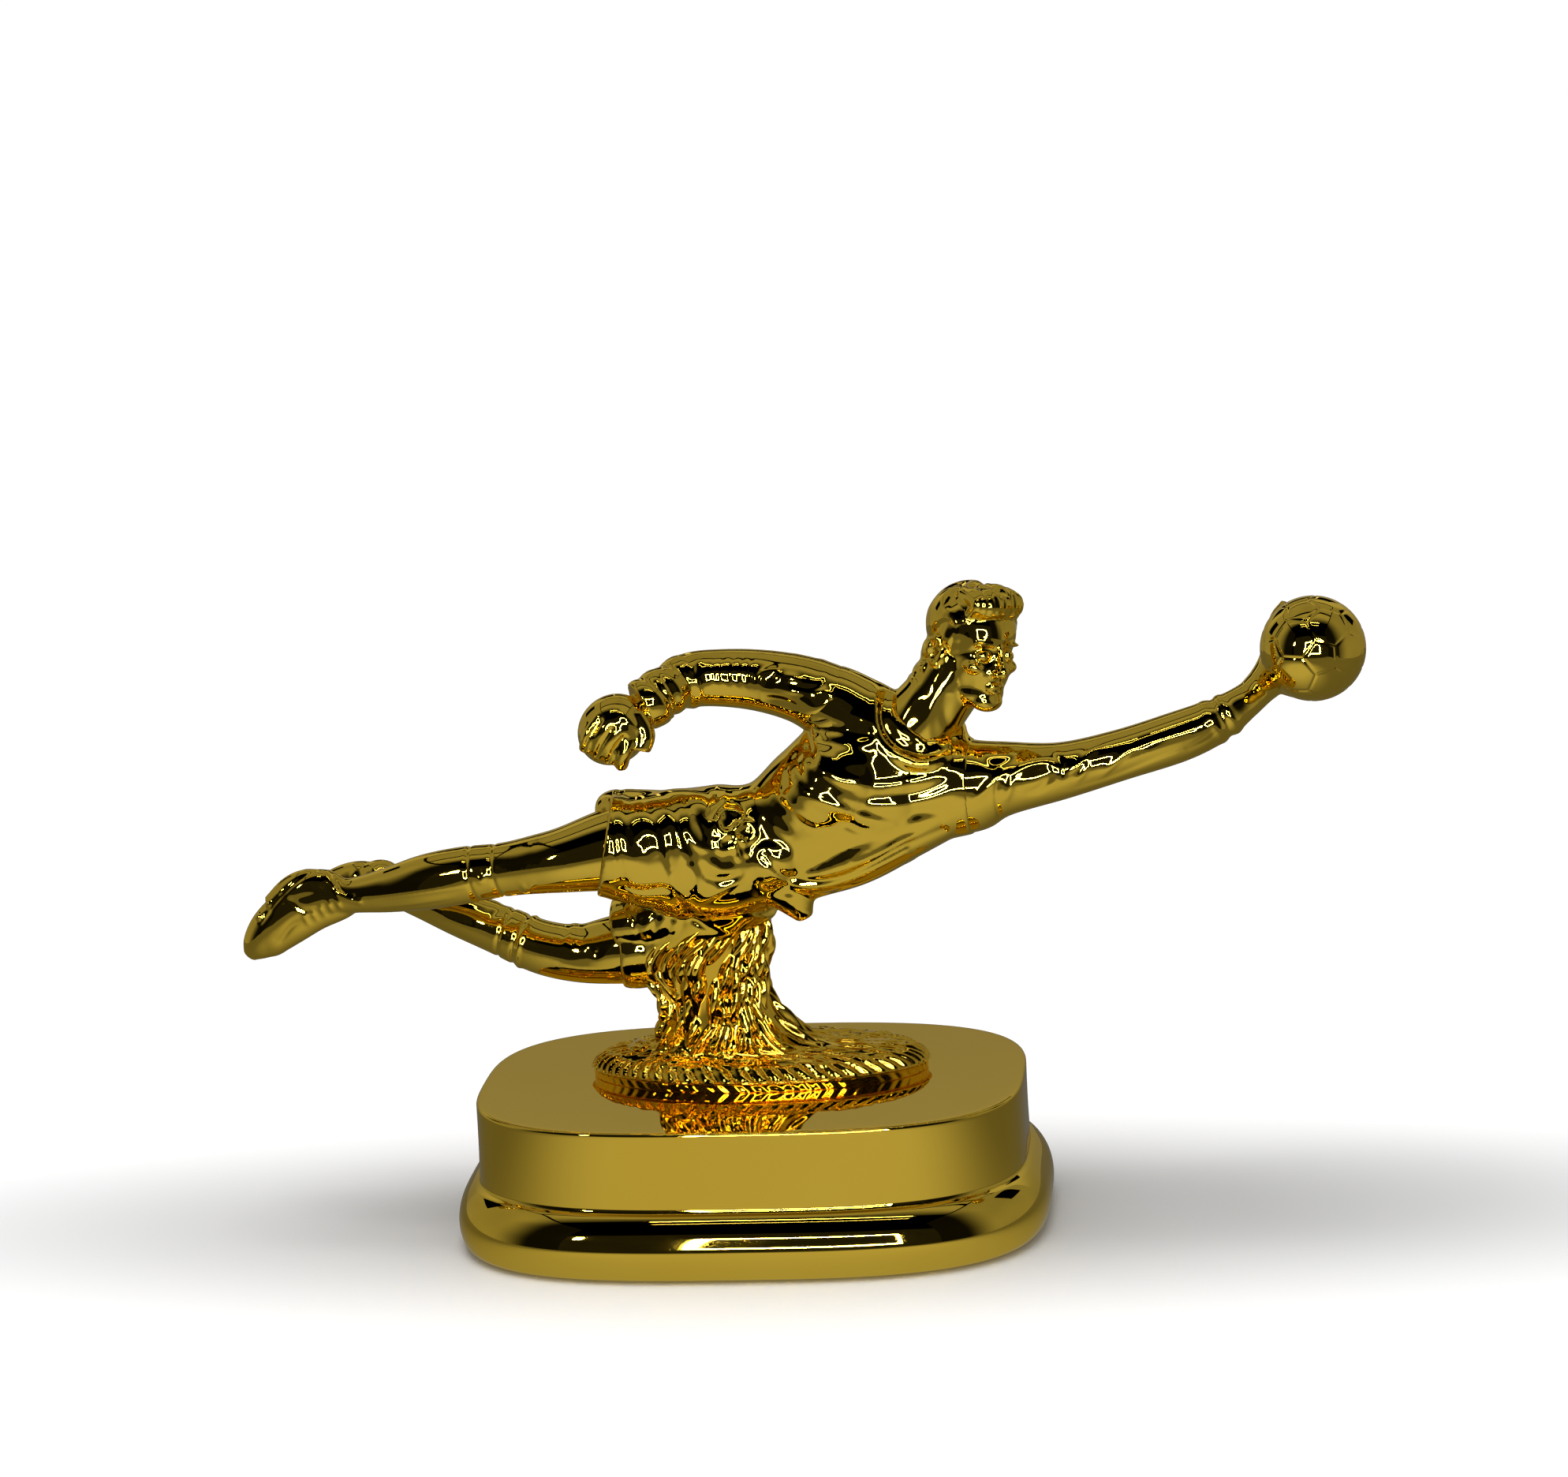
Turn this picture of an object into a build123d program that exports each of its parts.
"""Figure trophy: a diving goalkeeper on a grass mound and a squarish-oval plinth, all in millimetres.

+X runs along the plinth towards the outstretched hand, +Y to the back, +Z up. The origin is the middle of the
underside of the felt pad, which is the face that the trophy stands on.
"""

import os
from math import cos, pi, sin

from build123d import *

# ---------------------------------------------------------------- driving dimensions
DECK_HALF_LENGTH = 60.0
DECK_HALF_DEPTH = 44.0
SQUARENESS = 3.1  # exponent of the superellipse: 2 is an ellipse, more is squarer
OUTLINE_POINTS = 32
DECK_HEIGHT = 32.0
FOOT_HEIGHT = 14.5  # the straight wall starts here
RIM_LIFT = 0.5  # the felt pad keeps the plated rim off the table
SHELL = 3.0
DECK_EDGE_RADIUS = 0.7

PAD_THICKNESS = 1.0
CLOSING_PLATE = 2.8
PLATE_INSET = 1.5
BALLAST_HALF_LENGTH = 33.0
BALLAST_HALF_DEPTH = 30.0
BALLAST_HEIGHT = 17.0
BALLAST_BORE = 10.0
BOSS_RADIUS = 4.0
BOSS_SPACING = (80.0, 54.0)
SCREW_RADIUS = 1.5
SCREW_HEAD_RADIUS = 2.8
SCREW_HEAD_DEPTH = SCREW_HEAD_RADIUS - SCREW_RADIUS
SCREW_LENGTH = 12.0
COUNTERSINK_TAPER = 45.0
CROSS_LENGTH, CROSS_WIDTH, CROSS_DEPTH = 3.2, 0.7, 0.6

ROD_X, ROD_Y = -4.0, 2.0
ROD_RADIUS = 3.0
ROD_BOTTOM = 19.5
ROD_TOP = 74.0
NUT_ACROSS_FLATS = 10.0
NUT_HEIGHT = 5.0
WASHER_RADIUS = 9.0
LOCK_WASHER_RADIUS = 5.5
WASHER_THICKNESS = 1.6
PIN_RADIUS = 1.5
PIN_X = 24.0
PIN_LENGTH = 6.0

MOUND_CENTRE = (2.0, 5.0)
BALL_CENTRE = (125.1, -2.0, 124.6)
BALL_RADIUS = 11.3
ARM_WIRE_RADIUS = 0.9
LEG_WIRE_RADIUS = 1.2
WIRE_BEND = 9.0
DOWEL_RADIUS = 1.5

UNDERSIDE = DECK_HEIGHT - SHELL
PLATE_TOP = PAD_THICKNESS + CLOSING_PLATE

os.makedirs("parts", exist_ok=True)


def squircle(offset, half_length=DECK_HALF_LENGTH, half_depth=DECK_HALF_DEPTH):
    """Points of the plinth's outline, moved outwards by offset, evenly spaced in direction."""
    a, b = half_length + offset, half_depth + offset
    points = []
    for i in range(OUTLINE_POINTS):
        t = 2 * pi * i / OUTLINE_POINTS
        reach = (abs(cos(t) / a) ** SQUARENESS + abs(sin(t) / b) ** SQUARENESS) ** (-1 / SQUARENESS)
        points.append((reach * cos(t), reach * sin(t)))
    return points


def station_plane(here, before, after):
    """Plane across a limb at one station: its normal runs from the station before to the one after, its Y to the back."""
    along = (Vector(*after) - Vector(*before)).normalized()
    across = Vector(0, 1, 0).cross(along).normalized()
    return Plane(origin=here, x_dir=across, z_dir=along)


def limb_sections(stations, lead=None):
    """One ellipse sketch for each (x, y, z, half width, half depth), square to the run of the limb.

    With a lead, the run of another limb that ends at the first station, the first section lies on that limb's end face.
    """
    sections = []
    for i, (x, y, z, half_width, half_depth) in enumerate(stations):
        before = stations[max(i - 1, 0)][:3]
        after = stations[min(i + 1, len(stations) - 1)][:3]
        if lead and i == 0:
            before, after = lead[-2][:3], lead[-1][:3]
        with BuildSketch(station_plane((x, y, z), before, after)) as section:
            Ellipse(half_width, half_depth)
        sections.append(section.sketch)
    return sections


def level_sections(stations):
    """One level ellipse for each (x, y, z, half length along X, half depth along Y)."""
    sections = []
    for x, y, z, half_length, half_depth in stations:
        with BuildSketch(Plane((x, y, z))) as section:
            Ellipse(half_length, half_depth)
        sections.append(section.sketch)
    return sections


def wire_through(points, radius):
    """A round bar along straight runs joined by tangent arcs."""
    with BuildPart() as bar:
        with BuildLine() as path:
            FilletPolyline(*points, radius=WIRE_BEND)
        with BuildSketch(Plane(origin=path.line @ 0, z_dir=path.line % 0)):
            Circle(radius)
        sweep()
    return bar.part


def straight_bar(start, end, radius):
    """A round bar from start to end."""
    along = Vector(*end) - Vector(*start)
    with BuildPart() as bar:
        with BuildSketch(Plane(origin=start, z_dir=along)):
            Circle(radius)
        extrude(amount=along.length)
    return bar.part


def save(part, name):
    """Labels a finished piece and writes it as one STEP file."""
    part.label = name
    export_step(part, f"parts/{name}.step")


# ---------------------------------------------------------------- plinth
# The flared foot: outward offset from the deck's outline at each height, from the rim up to the wall.
FOOT_PROFILE = [
    (3.0, RIM_LIFT),
    (4.3, 1.7),
    (5.0, 4.0),
    (5.1, 6.6),
    (4.5, 9.4),
    (3.2, 11.8),
    (1.6, 13.6),
    (0.3, FOOT_HEIGHT),
]

boss_places = GridLocations(*BOSS_SPACING, 2, 2)

with BuildPart() as plinth_shell:
    for offset_out, height in FOOT_PROFILE:
        with BuildSketch(Plane.XY.offset(height)):
            with BuildLine():
                Spline(*squircle(offset_out), periodic=True)
            make_face()
    loft()
    with BuildSketch(Plane.XY.offset(FOOT_HEIGHT)):
        with BuildLine():
            Spline(*squircle(0), periodic=True)
        make_face()
    extrude(amount=DECK_HEIGHT - FOOT_HEIGHT)
    fillet(plinth_shell.faces().sort_by(Axis.Z)[-1].edges(), DECK_EDGE_RADIUS)
    with BuildSketch(Plane.XY.offset(RIM_LIFT)):
        with BuildLine():
            Spline(*squircle(-SHELL), periodic=True)
        make_face()
    extrude(amount=UNDERSIDE - RIM_LIFT, mode=Mode.SUBTRACT)
    with BuildSketch(Plane.XY.offset(RIM_LIFT)):
        with BuildLine():
            Spline(*squircle(-PLATE_INSET), periodic=True)
        make_face()
    extrude(amount=PLATE_TOP - RIM_LIFT, mode=Mode.SUBTRACT)
    with BuildSketch(Plane.XY.offset(PLATE_TOP)):
        with boss_places:
            Circle(BOSS_RADIUS)
    extrude(amount=UNDERSIDE - PLATE_TOP)
    with BuildSketch(Plane.XY.offset(PLATE_TOP)):
        with boss_places:
            Circle(SCREW_RADIUS)
    extrude(amount=SCREW_LENGTH - CLOSING_PLATE, mode=Mode.SUBTRACT)
    with BuildSketch(Plane.XY.offset(UNDERSIDE)):
        with Locations((ROD_X, ROD_Y)):
            Circle(ROD_RADIUS)
        with Locations((-PIN_X, MOUND_CENTRE[1]), (PIN_X, MOUND_CENTRE[1])):
            Circle(PIN_RADIUS)
    extrude(amount=SHELL, mode=Mode.SUBTRACT)
save(plinth_shell.part, "plinth_shell")

with BuildPart() as closing_plate:
    with BuildSketch(Plane.XY.offset(PAD_THICKNESS)):
        with BuildLine():
            Spline(*squircle(-PLATE_INSET), periodic=True)
        make_face()
        with boss_places:
            Circle(SCREW_RADIUS, mode=Mode.SUBTRACT)
    extrude(amount=CLOSING_PLATE)
    with BuildSketch(Plane.XY.offset(PAD_THICKNESS)):
        with boss_places:
            Circle(SCREW_HEAD_RADIUS)
    extrude(amount=SCREW_HEAD_DEPTH, taper=COUNTERSINK_TAPER, mode=Mode.SUBTRACT)
save(closing_plate.part, "closing_plate")

with BuildPart() as plate_screws:
    with BuildSketch(Plane.XY.offset(PAD_THICKNESS)):
        with boss_places:
            Circle(SCREW_RADIUS)
    extrude(amount=SCREW_LENGTH)
    with BuildSketch(Plane.XY.offset(PAD_THICKNESS)):
        with boss_places:
            Circle(SCREW_HEAD_RADIUS)
    extrude(amount=SCREW_HEAD_DEPTH, taper=COUNTERSINK_TAPER)
    with BuildSketch(Plane.XY.offset(PAD_THICKNESS)):
        with boss_places:
            Rectangle(CROSS_LENGTH, CROSS_WIDTH)
            Rectangle(CROSS_WIDTH, CROSS_LENGTH)
    extrude(amount=CROSS_DEPTH, mode=Mode.SUBTRACT)
save(plate_screws.part, "plate_screws")

with BuildPart() as felt_pad:
    with BuildSketch():
        with BuildLine():
            Spline(*squircle(-PLATE_INSET - 0.5), periodic=True)
        make_face()
    extrude(amount=PAD_THICKNESS)
save(felt_pad.part, "felt_pad")

with BuildPart() as ballast_block:
    with BuildSketch(Plane.XY.offset(PLATE_TOP)):
        with BuildLine():
            Spline(*squircle(0, BALLAST_HALF_LENGTH, BALLAST_HALF_DEPTH), periodic=True)
        make_face()
        with Locations((ROD_X, ROD_Y)):
            Circle(BALLAST_BORE, mode=Mode.SUBTRACT)
    extrude(amount=BALLAST_HEIGHT)
save(ballast_block.part, "ballast_block")

# ---------------------------------------------------------------- rod, nut and washers that clamp the figure down
with BuildPart() as centre_rod:
    with BuildSketch(Plane.XY.offset(ROD_BOTTOM)):
        with Locations((ROD_X, ROD_Y)):
            Circle(ROD_RADIUS)
    extrude(amount=ROD_TOP - ROD_BOTTOM)
    chamfer(centre_rod.edges().filter_by(GeomType.CIRCLE), 0.5)
save(centre_rod.part, "centre_rod")


def ring_piece(name, outer_radius, top, thickness):
    """A flat ring round the rod, whose upper face is at top."""
    with BuildPart() as ring:
        with BuildSketch(Plane.XY.offset(top - thickness)):
            with Locations((ROD_X, ROD_Y)):
                Circle(outer_radius)
                Circle(ROD_RADIUS, mode=Mode.SUBTRACT)
        extrude(amount=thickness)
    save(ring.part, name)


ring_piece("deck_washer", WASHER_RADIUS, UNDERSIDE, WASHER_THICKNESS)
ring_piece("lock_washer", LOCK_WASHER_RADIUS, UNDERSIDE - WASHER_THICKNESS, WASHER_THICKNESS)

NUT_TOP = UNDERSIDE - 2 * WASHER_THICKNESS
with BuildPart() as rod_nut:
    with BuildSketch(Plane.XY.offset(NUT_TOP - NUT_HEIGHT)):
        with Locations((ROD_X, ROD_Y)):
            RegularPolygon(NUT_ACROSS_FLATS / 2, 6, major_radius=False)
            Circle(ROD_RADIUS, mode=Mode.SUBTRACT)
    extrude(amount=NUT_HEIGHT)
save(rod_nut.part, "rod_nut")

with BuildPart() as locating_pins:
    with BuildSketch(Plane.XY.offset(UNDERSIDE)):
        with Locations((-PIN_X, MOUND_CENTRE[1]), (PIN_X, MOUND_CENTRE[1])):
            Circle(PIN_RADIUS)
    extrude(amount=PIN_LENGTH)
save(locating_pins.part, "locating_pins")

# ---------------------------------------------------------------- limb stations: x, y, z, half width, half depth
TRUNK_OF_BODY = [
    (43.0, 0.0, 104.8, 8.6, 8.2),
    (37.0, 0.0, 101.5, 15.5, 11.2),
    (29.0, 0.0, 97.0, 18.6, 12.8),
    (18.0, 0.0, 91.0, 16.6, 12.2),
    (7.0, 0.0, 85.0, 13.6, 10.8),
    (-4.0, -1.5, 82.0, 14.6, 12.4),
    (-15.0, -5.5, 83.2, 12.6, 11.8),
    (-27.5, -9.0, 85.0, 10.6, 10.4),
]
LOWER_SHORTS_LEG = [
    (-2.0, 1.0, 77.0, 12.5, 11.5),
    (-10.0, 3.0, 68.0, 11.0, 11.0),
    (-18.0, 4.0, 63.0, 9.6, 9.8),
    (-26.5, 4.0, 60.2, 8.8, 9.2),
]
REACHING_SHOULDER = [
    (32.0, 0.0, 97.0, 13.5, 11.0),
    (43.0, -1.0, 96.6, 12.2, 10.2),
    (51.8, -2.0, 96.5, 10.4, 9.2),
]
BENT_SHOULDER = [
    (33.0, 0.0, 102.0, 11.0, 10.0),
    (27.5, 0.2, 108.5, 9.4, 9.0),
    (22.0, 0.8, 114.0, 7.8, 7.6),
]
REACHING_ARM = [
    (51.8, -2.0, 96.5, 10.4, 9.2),
    (58.0, -3.0, 97.1, 8.3, 8.0),
    (70.6, -4.0, 98.9, 6.8, 6.8),
    (83.4, -4.0, 102.0, 6.3, 6.3),
    (96.0, -4.0, 105.6, 6.1, 6.0),
    (105.0, -2.8, 109.4, 5.3, 5.2),
    (111.0, 0.5, 113.2, 3.9, 4.2),
    (116.0, 6.0, 116.6, 4.2, 4.2),
    (120.0, 10.0, 121.5, 6.0, 3.4),
    (123.5, 11.0, 127.0, 7.4, 2.8),
    (126.5, 9.5, 132.5, 6.4, 2.6),
    (128.5, 6.0, 136.0, 4.0, 1.8),
]
BENT_ARM = [
    (22.0, 0.8, 114.0, 7.8, 7.6),
    (15.0, 2.6, 118.0, 6.8, 6.8),
    (6.0, 5.0, 119.6, 6.0, 6.2),
    (-3.0, 5.6, 119.8, 6.1, 6.2),
    (-10.0, 3.6, 119.0, 6.4, 6.0),
    (-16.0, -1.0, 117.0, 5.3, 5.4),
    (-20.5, -3.8, 114.6, 6.4, 6.4),
    (-25.0, -6.0, 111.0, 7.8, 7.4),
    (-28.6, -7.6, 107.0, 5.6, 5.6),
    (-30.2, -8.2, 104.6, 2.0, 2.0),
]
STRAIGHT_LEG = [
    (-27.5, -9.0, 85.0, 8.8, 9.0),
    (-36.7, -10.0, 83.1, 6.9, 7.5),
    (-43.0, -9.6, 82.2, 6.2, 6.6),
    (-51.0, -8.6, 80.9, 5.4, 5.8),
    (-60.0, -7.5, 79.6, 5.8, 5.8),
    (-68.9, -6.5, 78.4, 5.5, 5.4),
    (-78.0, -5.0, 76.9, 4.6, 4.5),
    (-86.0, -4.0, 76.0, 3.8, 3.8),
    (-92.0, -3.6, 75.6, 4.6, 3.7),
    (-98.5, -3.3, 73.0, 5.6, 3.9),
    (-104.0, -3.1, 68.8, 5.4, 3.9),
    (-108.0, -3.0, 65.0, 3.8, 3.2),
    (-110.2, -3.0, 62.6, 1.5, 1.5),
]
FOLDED_LEG = [
    (-26.5, 4.0, 60.2, 7.7, 8.0),
    (-36.7, 5.0, 59.4, 6.5, 6.9),
    (-46.0, 6.0, 60.8, 6.0, 6.4),
    (-56.0, 8.0, 64.7, 5.6, 5.6),
    (-65.3, 10.0, 68.0, 5.0, 5.0),
    (-74.4, 12.0, 71.2, 4.1, 4.1),
    (-81.0, 13.4, 73.6, 3.9, 3.8),
    (-87.0, 15.0, 74.4, 4.9, 3.8),
    (-93.0, 17.0, 72.4, 5.0, 3.8),
    (-98.0, 18.8, 69.4, 3.8, 3.2),
    (-100.4, 19.6, 67.4, 1.4, 1.4),
]
HEAD_LEVELS = [
    (55.2, -6.0, 114.0, 2.6, 2.4),
    (55.2, -3.6, 117.0, 5.8, 5.8),
    (54.2, -1.6, 121.5, 8.4, 8.8),
    (53.2, -0.4, 126.5, 10.0, 10.6),
    (52.6, 0.4, 131.5, 10.8, 11.4),
    (52.6, 0.8, 136.5, 9.8, 10.2),
    (53.0, 1.0, 139.6, 6.4, 6.8),
    (53.2, 1.0, 140.8, 2.8, 3.0),
]
NECK = [
    (43.0, 0.0, 104.8, 7.4, 7.2),
    (45.0, 0.0, 109.5, 6.8, 6.8),
    (48.0, 0.4, 116.0, 6.4, 6.6),
    (51.0, 0.6, 122.0, 6.0, 6.0),
]
MOUND_LEVELS = [
    (MOUND_CENTRE[0], MOUND_CENTRE[1], DECK_HEIGHT, 36.6, 17.6),
    (MOUND_CENTRE[0], MOUND_CENTRE[1], 33.2, 38.0, 19.0),
    (1.6, 4.8, 34.8, 37.0, 18.0),
    (0.6, 4.4, 36.2, 33.0, 15.6),
    (-1.4, 3.6, 37.4, 27.0, 13.2),
    (-3.0, 3.0, 38.4, 20.0, 11.0),
]
STUMP_LEVELS = [
    (-3.4, 2.6, 36.0, 20.0, 11.0),
    (-5.4, 2.4, 41.0, 15.0, 9.8),
    (-6.2, 2.0, 47.0, 12.9, 8.8),
    (-7.6, 2.0, 53.0, 14.0, 8.8),
    (-7.6, 2.0, 60.0, 13.4, 8.6),
    (-6.0, 2.0, 67.0, 11.0, 8.0),
]

# ---------------------------------------------------------------- armature wires and dowels inside the castings
reaching_arm_wire = wire_through(
    [(38, 0, 98), (52, -2, 96.5), (70.6, -4, 98.9), (96, -4, 105.6), (107, -2.2, 110.5)], ARM_WIRE_RADIUS
)
bent_arm_wire = wire_through(
    [(31, 0, 104), (22, 0.8, 114), (8, 4.6, 119.4), (-8, 4.4, 119.3), (-21, -4, 114.2)], ARM_WIRE_RADIUS
)
straight_leg_wire = wire_through(
    [(-12, -4.5, 83), (-27.5, -9, 85), (-44, -9.5, 82), (-66, -6.8, 78.9), (-85, -4.1, 76.1)], LEG_WIRE_RADIUS
)
folded_leg_wire = wire_through(
    [(-13, 3.4, 66), (-27, 4, 60), (-42, 5.6, 60), (-60, 8.8, 66.2), (-79, 13, 72.8)], LEG_WIRE_RADIUS
)
neck_dowel = straight_bar((40.5, 0, 101), (48, 0.4, 115), DOWEL_RADIUS)
ball_dowel = straight_bar((124.0, 11.6, 126.0), (124.8, 1.0, 125.0), 0.8)

for bar, bar_name in [
    (reaching_arm_wire, "reaching_arm_wire"),
    (bent_arm_wire, "bent_arm_wire"),
    (straight_leg_wire, "straight_leg_wire"),
    (folded_leg_wire, "folded_leg_wire"),
    (neck_dowel, "neck_dowel"),
    (ball_dowel, "ball_dowel"),
]:
    save(bar, bar_name)

# ---------------------------------------------------------------- castings
with BuildPart() as body_casting:
    loft(limb_sections(TRUNK_OF_BODY))
    loft(limb_sections(LOWER_SHORTS_LEG))
    loft(limb_sections(REACHING_SHOULDER))
    loft(limb_sections(BENT_SHOULDER))
    for bar in (reaching_arm_wire, bent_arm_wire, straight_leg_wire, folded_leg_wire, neck_dowel, centre_rod.part):
        add(bar, mode=Mode.SUBTRACT)
body_outside = body_casting.part

with BuildPart() as ball_casting:
    with Locations(BALL_CENTRE):
        Sphere(BALL_RADIUS)
    add(ball_dowel, mode=Mode.SUBTRACT)

with BuildPart() as reaching_arm_casting:
    loft(limb_sections(REACHING_ARM, lead=REACHING_SHOULDER))
    with Locations(BALL_CENTRE):
        Sphere(BALL_RADIUS, mode=Mode.SUBTRACT)
    for bar in (body_outside, reaching_arm_wire, ball_dowel):
        add(bar, mode=Mode.SUBTRACT)

with BuildPart() as bent_arm_casting:
    loft(limb_sections(BENT_ARM, lead=BENT_SHOULDER))
    for bar in (body_outside, bent_arm_wire):
        add(bar, mode=Mode.SUBTRACT)

with BuildPart() as straight_leg_casting:
    loft(limb_sections(STRAIGHT_LEG, lead=TRUNK_OF_BODY))
    for bar in (body_outside, straight_leg_wire):
        add(bar, mode=Mode.SUBTRACT)

with BuildPart() as folded_leg_casting:
    loft(limb_sections(FOLDED_LEG, lead=LOWER_SHORTS_LEG))
    for bar in (body_outside, folded_leg_wire):
        add(bar, mode=Mode.SUBTRACT)

with BuildPart() as head_casting:
    loft(level_sections(HEAD_LEVELS))
    loft(limb_sections(NECK))
    for bar in (body_outside, neck_dowel):
        add(bar, mode=Mode.SUBTRACT)

with BuildPart() as mound_casting:
    loft(level_sections(MOUND_LEVELS), ruled=True)
    loft(level_sections(STUMP_LEVELS))
    for bar in (body_outside, folded_leg_casting.part, folded_leg_wire, centre_rod.part, locating_pins.part):
        add(bar, mode=Mode.SUBTRACT)

for casting, casting_name in [
    (body_casting, "body_casting"),
    (ball_casting, "ball_casting"),
    (reaching_arm_casting, "reaching_arm_casting"),
    (bent_arm_casting, "bent_arm_casting"),
    (straight_leg_casting, "straight_leg_casting"),
    (folded_leg_casting, "folded_leg_casting"),
    (head_casting, "head_casting"),
    (mound_casting, "mound_casting"),
]:
    print(casting_name, len(casting.part.solids()), round(casting.part.volume, 1))
    save(casting.part, casting_name)
